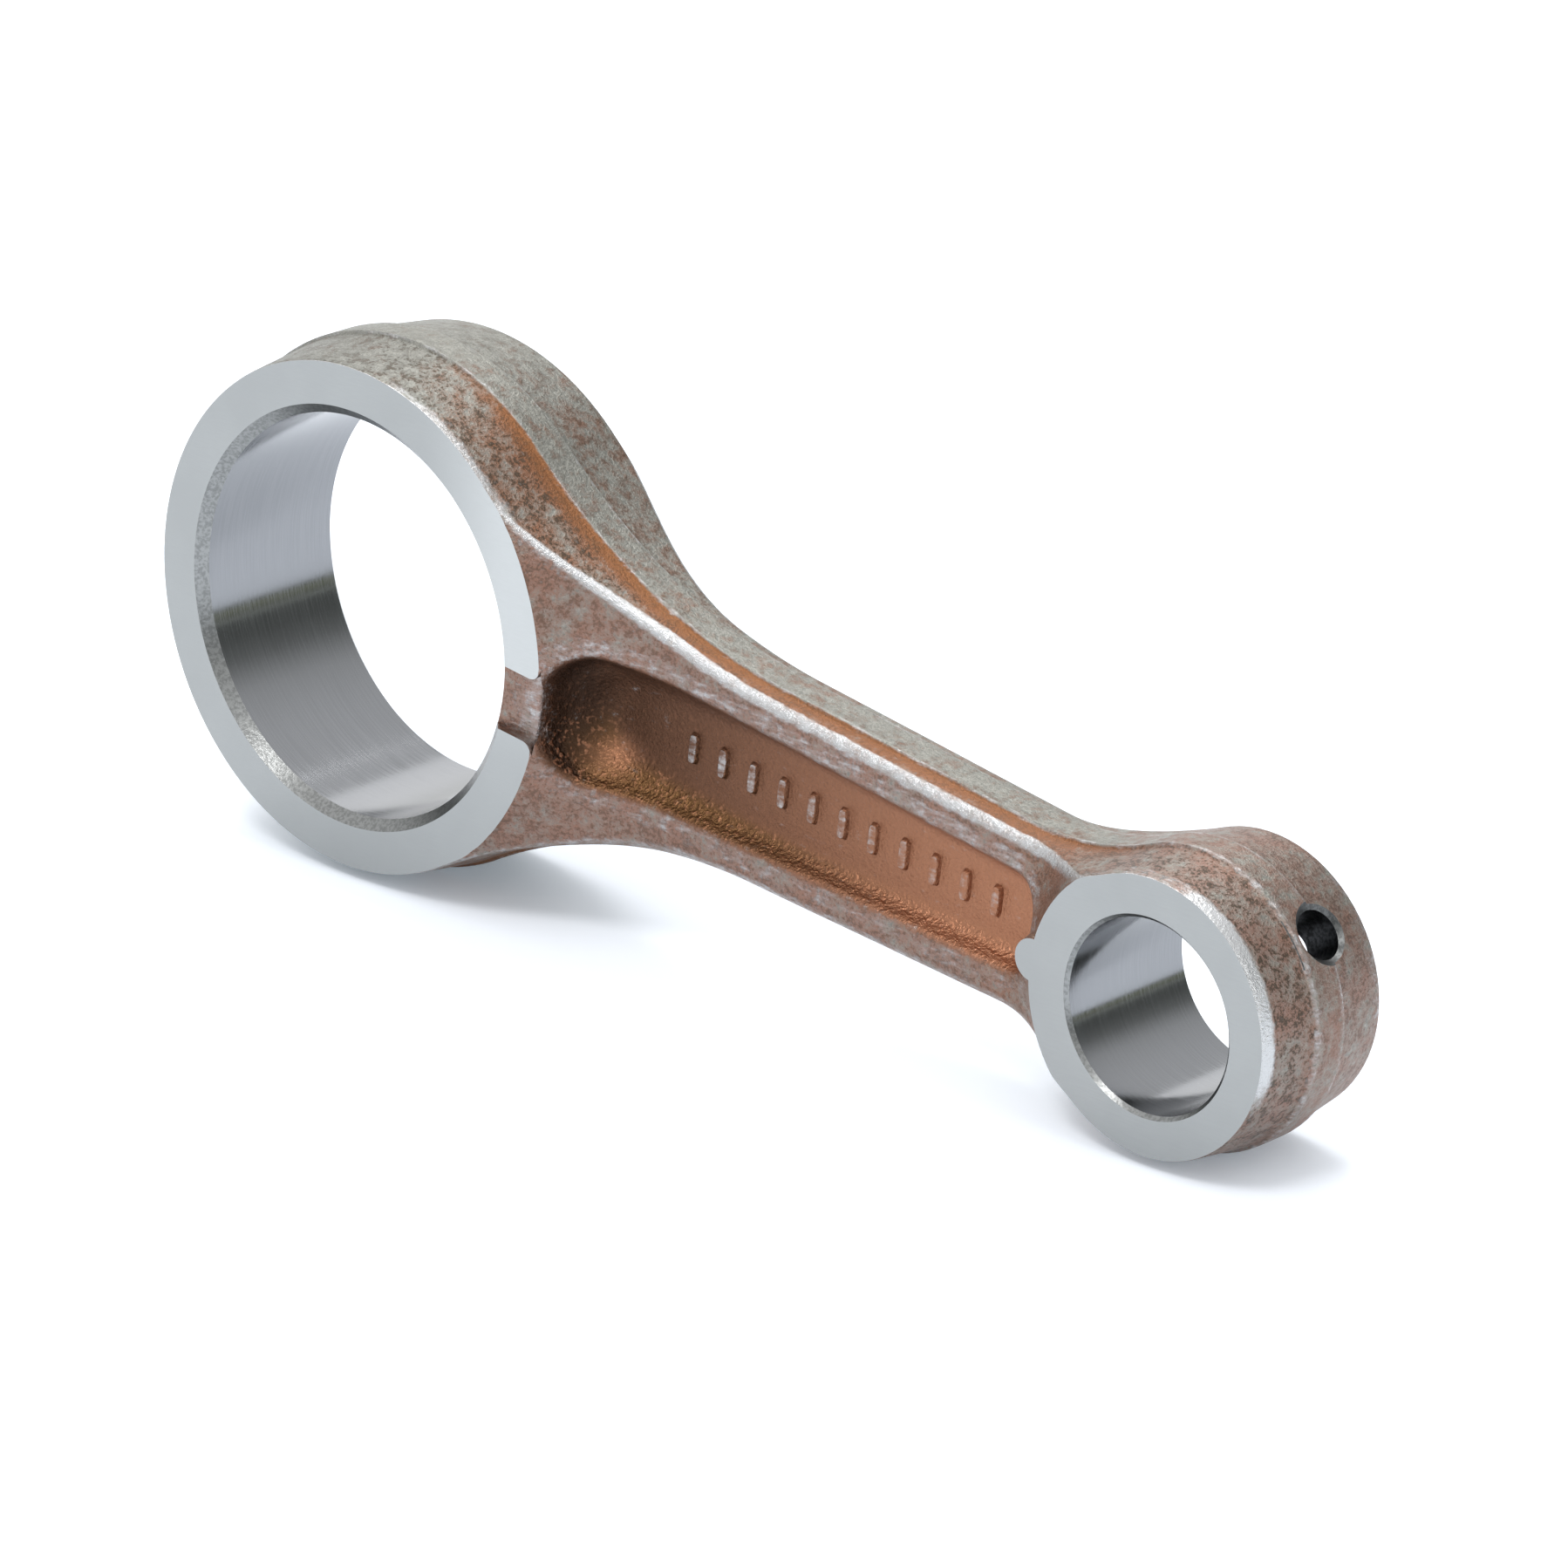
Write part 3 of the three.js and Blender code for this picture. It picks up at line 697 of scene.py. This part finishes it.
def paint_finishes(mesh, mm, colours):
    """Where the plating is whole, rubbed or dark, from where each vertex lies on the rod; with painted
    shade and a painted highlight in the pockets, and painted highlights on the ends' edges.
    """
    x, y, z = read(mesh.vertices, "co").T
    away = np.abs(y)
    level = np.abs(read(mesh.vertices, "normal")[:, 1])
    inset = outline_inset(x, z, mm)
    inside = pocket_depth_in(x, z, mm)
    belt = np.where(y < 0, mm.belt_front, mm.belt_back)
    beside_belt = (inset < 0.5) & (away < belt + 0.6)
    side = np.where(beside_belt, 1.0, smooth(level, 0.7, 0.4) * (inset < 2.4))
    front = np.where(y < 0, 1.0, 0.0)
    past_crown = smooth(x, -4.0, 16.0)
    at_small = smooth(x, 76.0, 90.0)
    pocket = smooth(inside, -0.75, 0.15) * (away < 8.2)
    on_belt = side * smooth(away, belt + 0.15, belt - 0.15)
    off_belt = side - on_belt
    stripe = off_belt * bump_at(away, belt + 0.2, 1.15) * smooth(x, 0.0, 16.0) * front
    stripe *= (1.0 - 0.35 * smooth(x, 30.0, 55.0)) * (1.0 - 0.85 * at_small)
    lower = smooth(z, 1.0, -3.0)
    rim = smooth(inset, 1.5, 0.8) * smooth(level, 0.25, 0.55) * (inset > 0.05) * (away > belt + 0.5)
    rim *= (1.0 - 0.5 * lower) * (0.86 + 0.14 * smooth(x, 55.0, 35.0))
    mouth = smooth(inside, -2.6, -1.7) * smooth(inside, 0.1, -0.6) * (away > 2.7) * (0.36 - 0.1 * lower)
    bar = pocket * smooth(away, mm.web_half + 0.25, mm.web_half + 0.4)
    bar *= front * (x > 35.0) * (x < 72.0) * (np.abs(z) < 1.6) * (level > 0.5)
    lip = smooth(x, 20.6, 21.6) * smooth(x, 23.8, 23.0) * (np.abs(z) < 3.6) * (away > 6.2)
    flange = (1.0 - side) * (1.0 - pocket)
    low_fillet = pocket * smooth(level, 0.998, 0.8) * lower * (bar < 0.1)

    bronze = mixed(colours["umber"], colours["copper"], 0.55 + 0 * x)
    tint = mixed(bronze, colours["rose"], np.clip(0.8 * flange + at_small + 0.3 * (1 - front) * side, 0, 1))
    tint = mixed(tint, colours["orange"], np.clip(1.2 * stripe, 0, 1))
    floor = mixed(colours["umber"], colours["copper"], 0.10 + 0.82 * smooth(x, 24.0, 76.0))
    floor = mixed(floor, colours["gold"], low_fillet * smooth(x, 66.0, 36.0))
    # Painted shade: darkened umber on the steep parts of the lower fillets towards the big end, and on the
    # floor beside the big-end wall.
    steep = smooth(level, 0.5, 0.3) * smooth(x, 50.0, 36.0)
    floor = mixed(floor, colours["umber"] * 0.3, low_fillet * steep)
    floor = mixed(floor, colours["umber"] * 0.4, 0.85 * smooth(x, 28.5, 24.5))
    # Painted highlight: a lighter copper spot in the pocket's lower corner at the big end.
    painted_bulge_highlight = bump_at(x, 28.2, 1.8) * bump_at(z, -3.6, 1.3)
    floor = mixed(floor, colours["copper"], 0.62 * painted_bulge_highlight)
    tint = mixed(tint, floor, pocket)
    tint = mixed(tint, bronze, 0.7 * flange * smooth(x, 70.0, 77.0) * smooth(x, 84.0, 78.0))
    skin = (0.10 + 0.52 * past_crown) * front + (0.08 + 0.30 * past_crown + 0.22 * at_small) * (1.0 - front)
    belt_skin = 0.10 + 0.12 * past_crown + 0.35 * at_small
    plating = off_belt * skin + on_belt * belt_skin + 0.72 * flange + 1.3 * pocket + 0.7 * stripe
    opaque = np.ones((len(tint), 1))
    paint(mesh, "tint", np.concatenate([tint, opaque], axis=1), "FLOAT_COLOR", "color")
    paint(mesh, "plating", np.clip(plating, 0, 1.3))
    edge_of_belt = side * bump_at(away, belt - 0.1, 0.18 + 0.22 * at_small)
    # Rubbed steel on the small end's outer front edge: partly real wear, and partly a painted highlight, as
    # it is kept to the upper side and the far end and fades towards the bottom.
    small_end_wear_and_glint = smooth(away, 5.9, 6.9) * smooth(inset, 2.2, 1.2) * at_small * (0.2 + 0.8 * front)
    small_end_wear_and_glint *= smooth(z, -6.0, 2.0) * (0.25 + 0.75 * smooth(x, 92.0, 100.0))
    # Painted highlight: lighter steel on the big end's side just behind its front face, on the half towards
    # the beam.
    painted_big_end_glint = off_belt * smooth(away, 7.3, 8.2) * smooth(x, -2.0, 8.0) * smooth(x, 40.0, 30.0) * front
    silver = bar * (0.46 - 0.16 * smooth(x, 40.0, 70.0))
    # Rubbed steel: real wear on the rims, the pockets' mouths, the lip, the belt's edges and the bars'
    # tops, together with the painted highlights on the ends' edges.
    rubbed = [rim, mouth, 0.45 * lip, 0.42 * edge_of_belt, 1.6 * small_end_wear_and_glint, 0.7 * painted_big_end_glint, silver]
    paint(mesh, "burnish_and_glints", np.maximum.reduce(rubbed))
    specks = off_belt * (1.0 - 0.35 * smooth(x, 30.0, 60.0) + 0.35 * at_small)
    specks += 0.6 * on_belt + 0.6 * flange
    specks *= (0.5 + 0.5 * smooth(x, -16.0, 4.0)) * (0.65 + 0.35 * front)
    paint(mesh, "specks", np.clip(specks - 0.7 * stripe, 0, 1))
    # The pockets' dimpled relief and the mask of their painted glints, mostly on the lower fillets, and a
    # little on the flanges.
    hammered_and_glints = pocket * (0.2 + 0.8 * smooth(level, 0.998, 0.9) * lower) * (bar < 0.1)
    paint(mesh, "hammered_and_glints", hammered_and_glints + 0.2 * flange)


FORGED, GROUND, CHAMFERED, HONED, DRILLED, COUNTERSUNK = range(6)
CLOSE_BY = 0.03


def sort_faces(mesh, mm):
    """Gives each face its finish: ground where it lies in an end's plane, chamfered on a bore's chamfer,
    honed on a bore's wall, drilled in the oil hole and countersunk at its mouth, and forged everywhere
    else."""
    centre, normal = read(mesh.polygons, "center"), read(mesh.polygons, "normal")
    near_big = centre[:, 0] < mm.centre_distance / 2
    half = np.where(near_big, mm.big_half_width, mm.small_half_width)
    bore = np.where(near_big, mm.big_bore, mm.small_bore)
    chamfer = np.where(near_big, mm.big_chamfer, mm.small_chamfer)
    across = np.stack([centre[:, 0] - np.where(near_big, 0.0, mm.centre_distance), centre[:, 2]], axis=1)
    radius = np.hypot(*across.T)
    facing_in = -(across * normal[:, [0, 2]]).sum(1) / np.maximum(radius, 1e-6)
    level = np.abs(normal[:, 1])
    finish = np.full(len(centre), FORGED, np.int32)
    along, away = oil_hole_axis(centre, mm)
    finish[(away < OIL_HOLE_RADIUS + CLOSE_BY) & (along > 0)] = DRILLED
    outward = normal @ OIL_HOLE_RAY
    mouth = (away < OIL_HOLE_RADIUS + 3 * OIL_HOLE_COUNTERSINK) & (along > mm.small_bore + 1.0)
    finish[mouth & (np.abs(outward - math.sqrt(0.5)) < 0.05)] = COUNTERSUNK
    finish[(level > 0.999) & (np.abs(np.abs(centre[:, 1]) - half) < CLOSE_BY)] = GROUND
    on_cone = (np.abs(level - math.sqrt(0.5)) < 0.02) & (facing_in > 0.6)
    finish[on_cone & (radius < bore + chamfer + CLOSE_BY) & (radius > bore - CLOSE_BY)] = CHAMFERED
    finish[(facing_in > 0.99) & (np.abs(radius - bore) < CLOSE_BY) & (level < 0.05)] = HONED
    mesh.polygons.foreach_set("material_index", finish)


# ---- materials ----


def added(tree, kind, settings=(), inputs=()):
    """A new node with its settings, and its inputs linked to sockets or given values."""
    made = tree.nodes.new(kind)
    for name, value in dict(settings).items():
        setattr(made, name, value)
    for key, value in dict(inputs).items():
        if isinstance(value, bpy.types.NodeSocket):
            tree.links.new(value, made.inputs[key])
        else:
            made.inputs[key].default_value = value
    return made


class Shader:
    """A material's nodes, added one at a time and laid out from left to right."""

    def __init__(self, name, metallic, roughness):
        self.material = bpy.data.materials.new(name)
        self.material.use_nodes = True
        self.tree = self.material.node_tree
        self.bsdf = self.tree.nodes["Principled BSDF"]
        self.bsdf.inputs["Metallic"].default_value = metallic
        self.bsdf.inputs["Roughness"].default_value = roughness
        self.column = 0

    def node(self, kind, settings=(), inputs=()):
        made = added(self.tree, kind, settings, inputs)
        made.location = (-2400 + 170 * self.column, 0)
        self.column += 1
        return made

    def place(self, scale=(1.0, 1.0, 1.0)):
        """Where a point of the piece lies, in millimetres times a scale along each axis."""
        coordinates = self.node("ShaderNodeTexCoord").outputs["Object"]
        inputs = {"Vector": coordinates, "Scale": [MM * s for s in scale]}
        return self.node("ShaderNodeMapping", inputs=inputs).outputs["Vector"]

    def attribute(self, name, output="Fac"):
        return self.node("ShaderNodeAttribute", {"attribute_name": name}).outputs[output]

    def noise(self, place, scale, detail=4.0, roughness=0.6):
        inputs = {"Vector": place, "Scale": scale, "Detail": detail, "Roughness": roughness}
        return self.node("ShaderNodeTexNoise", inputs=inputs).outputs["Fac"]

    def times(self, value, factor, plus=0.0):
        inputs = {0: value, 1: factor, 2: plus}
        return self.node("ShaderNodeMath", {"operation": "MULTIPLY_ADD"}, inputs).outputs[0]

    def plus(self, first, second):
        return self.node("ShaderNodeMath", {"operation": "ADD"}, {0: first, 1: second}).outputs[0]

    def step(self, value, low, high, start=0.0, end=1.0):
        """From start at low to end at high, smoothly."""
        inputs = {"Value": value, "From Min": low, "From Max": high, "To Min": start, "To Max": end}
        return self.node("ShaderNodeMapRange", {"interpolation_type": "SMOOTHSTEP"}, inputs).outputs[0]

    def mix(self, share, first, second):
        made = self.node("ShaderNodeMix", {"data_type": "RGBA"}, {"Factor": share})
        for key, value in (("A", first), ("B", second)):
            socket = next(s for s in made.inputs if s.name == key and s.type == "RGBA")
            if isinstance(value, bpy.types.NodeSocket):
                self.tree.links.new(value, socket)
            else:
                socket.default_value = (*value, 1.0)
        return next(s for s in made.outputs if s.type == "RGBA")

    def bump(self, height, distance):
        """Relief of the surface, its depth in millimetres."""
        inputs = {"Height": height, "Distance": distance / MM, "Strength": 1.0}
        relief = self.node("ShaderNodeBump", inputs=inputs)
        self.tree.links.new(relief.outputs["Normal"], self.bsdf.inputs["Normal"])

    def finish(self, **links):
        for name, value in links.items():
            self.tree.links.new(value, self.bsdf.inputs[name.replace("_", " ")])
        return self.material


def forged_skin(colours):
    """Copper plating worn through to grey steel in patches and grains, with dark scale in the pits, and
    rubbed bright along the edges. Its colours also carry painted highlights on the ends' edges and in the
    pockets, painted glints in the pockets, and painted shade on the pockets' walls."""
    s = Shader("forged_skin", metallic=0.85, roughness=0.5)
    place = s.place()
    cloud = s.noise(place, 0.3, 3.0)
    patch = s.noise(place, 0.9, 5.0, 0.7)
    grain = s.noise(place, 3.3, 3.0, 0.65)
    streak = s.noise(s.place((0.6, 2.4, 2.4)), 1.0, 4.0, 0.65)
    plating, burnish_and_glints, specks = (s.attribute(n) for n in ("plating", "burnish_and_glints", "specks"))
    uneven = s.times(patch, 1.9, s.times(cloud, 0.9, -1.75))
    uneven = s.times(grain, 0.7, uneven)
    cover = s.step(s.plus(plating, uneven), 0.12, 0.88)
    grey = s.mix(s.step(grain, 0.35, 0.65), colours["skin"] * 0.8, colours["skin"] * 1.35)
    colour = s.mix(cover, grey, s.attribute("tint", "Color"))
    clump = s.times(grain, 0.6, s.times(patch, 0.6))
    dimple = s.noise(place, 2.4, 1.0, 0.5)
    hammered_and_glints = s.attribute("hammered_and_glints")
    # Painted glints: lighter copper spots where the dimple noise is high, in the pockets and, faintly, on
    # the flanges.
    glint = s.times(hammered_and_glints, s.step(dimple, 0.52, 0.72, 0.0, 0.42))
    colour = s.mix(glint, colour, colours["copper"] * 1.1)
    dark = s.times(specks, s.step(clump, 0.56, 0.70, 0.0, 0.85))
    colour = s.mix(dark, colour, colours["scale"])
    worn = s.times(streak, 1.1, s.times(patch, 1.2, -1.20))
    rubbed = s.step(s.plus(burnish_and_glints, worn), 0.1, 0.95)
    colour = s.mix(rubbed, colour, colours["steel"])
    rough = s.step(rubbed, 0.0, 1.0, 0.46, 0.27)
    rough = s.times(hammered_and_glints, -0.17, rough)
    relief = s.plus(grain, s.times(patch, 0.8))
    relief = s.plus(relief, s.times(dimple, s.times(hammered_and_glints, 1.1)))
    s.bump(relief, 0.11)
    return s.finish(Base_Color=colour, Roughness=rough)


def ground_steel(colours):
    """Steel ground flat, with fine straight marks of the wheel across the rod, and a painted sheen that
    makes a patch on the big end's inner side lighter."""
    s = Shader("ground_steel", metallic=1.0, roughness=0.4)
    marks = s.noise(s.place((0.6, 0.6, 9.0)), 1.0, 4.0, 0.6)
    cloud = s.noise(s.place(), 0.12, 2.0)
    colour = s.mix(s.step(marks, 0.35, 0.65), colours["ground"] * 0.94, colours["ground"])
    colour = s.mix(s.step(cloud, 0.3, 0.7, 0.0, 0.35), colour, colours["ground"] * 0.85)
    along = s.node("ShaderNodeSeparateXYZ", inputs={"Vector": s.place()})
    x, z = along.outputs["X"], along.outputs["Z"]
    # Painted sheen: the ground colour made lighter over a patch of the big end's face, towards the small
    # end and up.
    bright = s.times(s.step(x, -32.0, -20.0), s.step(x, -6.0, -12.0))
    bright = s.times(bright, s.step(z, 16.0, 26.0, 0.1, 0.9))
    colour = s.mix(bright, colour, colours["ground"] * 1.4)
    s.bump(marks, 0.004)
    return s.finish(Base_Color=colour, Roughness=s.step(marks, 0.3, 0.7, 0.36, 0.46))


def turned_steel(name, roughness, light, dark, relief, colours):
    """Steel turned to a cone and finely speckled, between two shades of the ground steel."""
    s = Shader(name, metallic=1.0, roughness=roughness)
    speck = s.noise(s.place(), 3.2, 3.0, 0.6)
    colour = s.mix(s.step(speck, 0.4, 0.62), colours["ground"] * light, colours["ground"] * dark)
    if relief:
        s.bump(speck, relief)
    return s.finish(Base_Color=colour)


def chamfered_steel(colours):
    """The bores' chamfers, a little darker than the ground faces."""
    return turned_steel("chamfered_steel", 0.3, 0.78, 0.55, 0.02, colours)


def countersunk_steel(colours):
    """The dull countersunk mouth of the oil hole."""
    return turned_steel("countersunk_steel", 0.42, 0.36, 0.22, 0.0, colours)


def honed_steel(colours):
    """Steel honed to a soft polish, with fine marks round the bore."""
    s = Shader("honed_steel", metallic=1.0, roughness=0.18)
    marks = s.noise(s.place((0.15, 8.0, 0.15)), 1.0, 4.0, 0.6)
    colour = s.mix(s.step(marks, 0.35, 0.65), colours["honed"] * 0.92, colours["honed"])
    s.bump(marks, 0.003)
    return s.finish(Base_Color=colour, Roughness=s.step(marks, 0.3, 0.7, 0.10, 0.20))


def drilled_steel_painted_dark(colours):
    """The wall of the oil hole: drilled steel with rings left by the drill, its colour made nearly black as
    painted shade inside the hole.
    """
    s = Shader("drilled_steel_painted_dark", metallic=1.0, roughness=0.45)
    rings = s.noise(s.place((3.0, 0.4, 3.0)), 1.0, 2.0)
    colour = s.mix(s.step(rings, 0.35, 0.65), colours["honed"] * 0.05, colours["honed"] * 0.16)
    return s.finish(Base_Color=colour)


# In the order of their numbers above.
FINISHES = (forged_skin, ground_steel, chamfered_steel, honed_steel, drilled_steel_painted_dark, countersunk_steel)


# ---- operators ----


def settings(context):
    """The sizes in millimetres and the colours as arrays."""
    palette = context.scene.rod_colours
    colours = {name: np.array(getattr(palette, name)) for name in palette.__annotations__}
    return Millimetres(context.scene.rod_sizes), colours


class ROD_OT_forging(bpy.types.Operator):
    """Builds the forged and machined rod"""

    bl_idname = "rod.forging"
    bl_label = "Build the Rod"

    def execute(self, context):
        mm, colours = settings(context)
        mesh = rod_mesh(mm)
        mesh.name = "forged_rod"
        mesh.materials.clear()
        for make in FINISHES:
            mesh.materials.append(make(colours))
        paint_finishes(mesh, mm, colours)
        sort_faces(mesh, mm)
        mesh.polygons.foreach_set("use_smooth", np.ones(len(mesh.polygons), bool))
        mesh.set_sharp_from_angle(angle=math.radians(30.0))
        tilt = Matrix.Rotation(mm.tilt, 4, "Y")
        mesh.transform(Matrix.Scale(1 / MM, 4) @ Matrix.Translation((mm.shift, 0.0, mm.rise)) @ tilt)
        rod = placed("forged_rod", mesh)
        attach(rod, "root")
        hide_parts(CAD_NODE)
        return {"FINISHED"}


def aimed(place, aim):
    """The turn that points a light or a camera at a spot."""
    return (Vector(aim) - Vector(place)).to_track_quat("-Z", "Y")


# The studio's sky: its up, which leans away from its dark side, and its shade at each height along that.
SKY_LOW, SKY_HIGH = -0.25, 1.0
SKY_UP = (-0.175, -0.175, 1.0)
SKY = (
    (-0.25, (0.10, 0.11, 0.10)),
    (-0.205, (0.46, 0.48, 0.33)),
    (-0.17, (0.10, 0.11, 0.10)),
    (-0.15, (0.75, 0.78, 0.72)),
    (-0.135, (0.17, 0.18, 0.17)),
    (0.0, (0.19, 0.20, 0.19)),
    (0.15, (0.31, 0.32, 0.31)),
    (0.36, (0.78, 0.79, 0.79)),
    (0.60, (0.98, 0.99, 1.0)),
    (1.0, (1.0, 1.0, 1.0)),
)


def gradient_sky():
    """A world whose shade follows the height of a direction, h = up . direction."""
    world = bpy.data.worlds.new("studio")
    world.use_nodes = True
    tree = world.node_tree
    direction = added(tree, "ShaderNodeTexCoord").outputs["Generated"]
    up = added(tree, "ShaderNodeVectorMath", {"operation": "DOT_PRODUCT"}, {0: direction, 1: SKY_UP})
    span = {"Value": up.outputs["Value"], "From Min": SKY_LOW, "From Max": SKY_HIGH}
    height = added(tree, "ShaderNodeMapRange", inputs=span).outputs[0]
    ramp = added(tree, "ShaderNodeValToRGB", inputs={"Fac": height})
    stops = ramp.color_ramp.elements
    for place, shade in SKY[1:-1]:
        stops.new((place - SKY_LOW) / (SKY_HIGH - SKY_LOW)).color = (*shade, 1.0)
    stops[0].color, stops[len(SKY) - 1].color = (*SKY[0][1], 1.0), (*SKY[-1][1], 1.0)
    background = tree.nodes["Background"]
    tree.links.new(ramp.outputs["Color"], background.inputs["Color"])
    background.inputs["Strength"].default_value = 1.1
    return world


# The floor's half width, its paper, and the lights' places, sizes and powers.
FLOOR_HALF = 6.0
PAPER = {
    "Base Color": (0.87, 0.90, 0.95, 1.0),
    "Emission Color": (0.76, 0.88, 1.0, 1.0),
    "Emission Strength": 0.19,
}
LIGHTS_AIM = (0.0, 0.0, 0.02)
LIGHTS = {
    "key_light": ((-0.45, 0.55, 1.30), 0.6, 7.2),
    "back_light": ((-0.90, 1.00, 0.42), 0.9, 2.1),
    "top_light": ((0.10, -0.60, 1.05), 0.32, 4.4),
    "side_light": ((1.15, 0.0, 0.42), 0.40, 2.4),
}


class ROD_OT_studio(bpy.types.Operator):
    """Lays the pale floor and sets the soft lights and the camera"""

    bl_idname = "rod.studio"
    bl_label = "Set the Studio"

    def execute(self, context):
        scene, chosen = context.scene, context.scene.rod_studio
        far = FLOOR_HALF
        corners = [(-far, -far, 0.0), (far, -far, 0.0), (far, far, 0.0), (-far, far, 0.0)]
        floor = mesh_object("studio_floor", corners, [(0, 1, 2, 3)])
        paper = Shader("pale_paper", metallic=0.0, roughness=0.9)
        for name, value in PAPER.items():
            paper.bsdf.inputs[name].default_value = value
        floor.data.materials.append(paper.material)

        scene.world = gradient_sky()
        scene.view_settings.view_transform = "Standard"
        for name, (place, size, power) in LIGHTS.items():
            data = bpy.data.lights.new(name, "AREA")
            data.shape, data.size, data.energy = "SQUARE", size, power
            light = placed(name, data)
            light.location, light.rotation_euler = place, aimed(place, LIGHTS_AIM).to_euler()

        data = bpy.data.cameras.new("studio_camera")
        data.lens, data.sensor_width, data.sensor_fit = chosen.lens, 36.0, "HORIZONTAL"
        data.clip_start, data.clip_end = 0.01, 50.0
        camera = placed("studio_camera", data)
        look = aimed(chosen.camera_place, chosen.camera_aim).to_matrix().to_4x4()
        lean = Matrix.Rotation(-chosen.camera_roll, 4, "Z")
        camera.matrix_world = Matrix.Translation(chosen.camera_place) @ look @ lean
        scene.camera = camera
        return {"FINISHED"}


class ROD_PT_sidebar(bpy.types.Panel):
    """Lists the rod's sizes and colours, and its two builders"""

    bl_idname = "ROD_PT_sidebar"
    bl_label = "Connecting Rod"
    bl_space_type = "VIEW_3D"
    bl_region_type = "UI"
    bl_category = "Connecting Rod"

    def draw(self, context):
        layout = self.layout
        for group in (context.scene.rod_sizes, context.scene.rod_colours, context.scene.rod_studio):
            column = layout.column(align=True)
            for name in group.__annotations__:
                column.prop(group, name)
        layout.operator(ROD_OT_forging.bl_idname)
        layout.operator(ROD_OT_studio.bl_idname)


CLASSES = (RodSizes, RodColours, StudioSettings, ROD_OT_forging, ROD_OT_studio, ROD_PT_sidebar)


def register():
    for cls in CLASSES:
        bpy.utils.register_class(cls)
    bpy.types.Scene.rod_sizes = bpy.props.PointerProperty(type=RodSizes)
    bpy.types.Scene.rod_colours = bpy.props.PointerProperty(type=RodColours)
    bpy.types.Scene.rod_studio = bpy.props.PointerProperty(type=StudioSettings)


def unregister():
    for name in ("rod_sizes", "rod_colours", "rod_studio"):
        delattr(bpy.types.Scene, name)
    for cls in reversed(CLASSES):
        bpy.utils.unregister_class(cls)


def main():
    """Registers the add-on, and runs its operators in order."""
    register()
    bpy.ops.rod.forging()
    bpy.ops.rod.studio()


if __name__ == "__main__":
    main()
